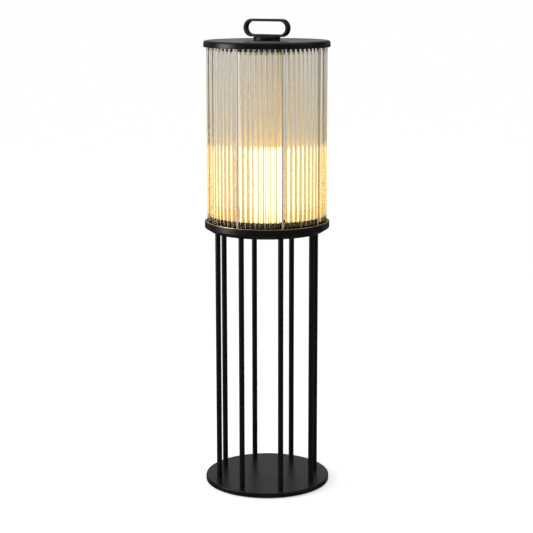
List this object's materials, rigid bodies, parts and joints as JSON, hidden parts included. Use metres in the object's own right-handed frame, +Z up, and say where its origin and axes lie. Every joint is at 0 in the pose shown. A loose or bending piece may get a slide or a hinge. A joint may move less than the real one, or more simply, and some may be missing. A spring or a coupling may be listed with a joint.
{
  "type": "outdoor floor lamp",
  "caption": "Tall outdoor lantern lamp: a ring of upright glass rods round a glowing opal column, under a dark cap with a strap handle, carried on slim posts over a round base.",
  "frame": {"origin": "middle of the footprint, on the floor under the foot pads", "axes": "+Z up along the lamp's axis, the handle's loop in the XZ plane, -Y the front"},
  "size_m": [0.3055, 0.3056, 1.136],
  "materials": {
    "black_paint": "fine satin powder coat",
    "clear_glass": "polished clear glass",
    "brass_ring": "brushed brass",
    "tie_steel": "bronzed satin steel",
    "dark_screws": "black oxide",
    "zinc_screws": "zinc plate",
    "black_rubber": "matt moulded rubber",
    "clear_silicone": "translucent silicone",
    "bare_aluminium": "machined",
    "opal_plastic": "opal, lit from inside",
    "led_board": "white solder mask",
    "green_board": "solder mask",
    "cell_wrap": "shrink sleeve",
    "black_plastic": "moulded",
    "grey_foam": "closed-cell foam",
    "socket_steel": "drawn shell",
    "lead_sheath": "smooth sheath"
  },
  "bodies": {
    "lamp": {"base_plate": "black_paint", "tray": "black_paint", "tray_cover": "black_paint", "upper_rod_ring": "black_paint", "cap_shell": "black_paint", "handle_boss": "black_paint", "handle_strap": "black_paint", "lamp_base": "black_paint", "top_plate": "black_paint", "post_1": "black_paint", "post_2": "black_paint", "post_3": "black_paint", "post_4": "black_paint", "post_5": "black_paint", "post_6": "black_paint", "post_7": "black_paint", "post_8": "black_paint", "glass_rods_1": "clear_glass", "glass_rods_2": "clear_glass", "glass_rods_3": "clear_glass", "glass_rods_4": "clear_glass", "glass_rods_5": "clear_glass", "glass_rods_6": "clear_glass", "glass_rods_7": "clear_glass", "glass_rods_8": "clear_glass", "lower_rod_ring": "brass_ring", "tie_post_1": "tie_steel", "tie_post_2": "tie_steel", "tie_post_3": "tie_steel", "tie_post_4": "tie_steel", "tie_post_5": "tie_steel", "tie_post_6": "tie_steel", "tie_post_7": "tie_steel", "tie_post_8": "tie_steel", "strap_screws": "dark_screws", "cover_screws": "dark_screws", "base_screws": "zinc_screws", "tie_screws": "zinc_screws", "handle_screws": "zinc_screws", "lamp_screws": "zinc_screws", "board_screws": "zinc_screws", "post_bottom_inserts": "zinc_screws", "post_top_studs": "zinc_screws", "lower_rod_gasket": "black_rubber", "foot_pads": "black_rubber", "tray_gasket": "black_rubber", "flap_anchor": "black_rubber", "upper_rod_gasket": "clear_silicone", "diffuser_seal": "clear_silicone", "led_column": "bare_aluminium", "diffuser": "opal_plastic", "led_strips": "led_board", "control_board": "green_board", "battery_cells": "cell_wrap", "battery_cradle": "black_plastic", "battery_pad": "grey_foam", "charging_socket": "socket_steel", "lamp_lead": "lead_sheath"},
    "button": {"power_button": "black_plastic"},
    "flap": {"socket_flap": "black_rubber"}
  },
  "joints": [
    {"name": "button_press", "type": "slide", "parent": "lamp", "child": "button", "axis": [0, 0, 1], "range_m": [0, 0.0015], "stiffness_N_per_m": 600, "springref_m": -0.001},
    {"name": "flap_hinge", "type": "hinge", "parent": "lamp", "child": "flap", "pos_m": [0.014, -0.08565, 0.6297], "axis": [-1, 0, 0], "range_deg": [0, 100]}
  ]
}
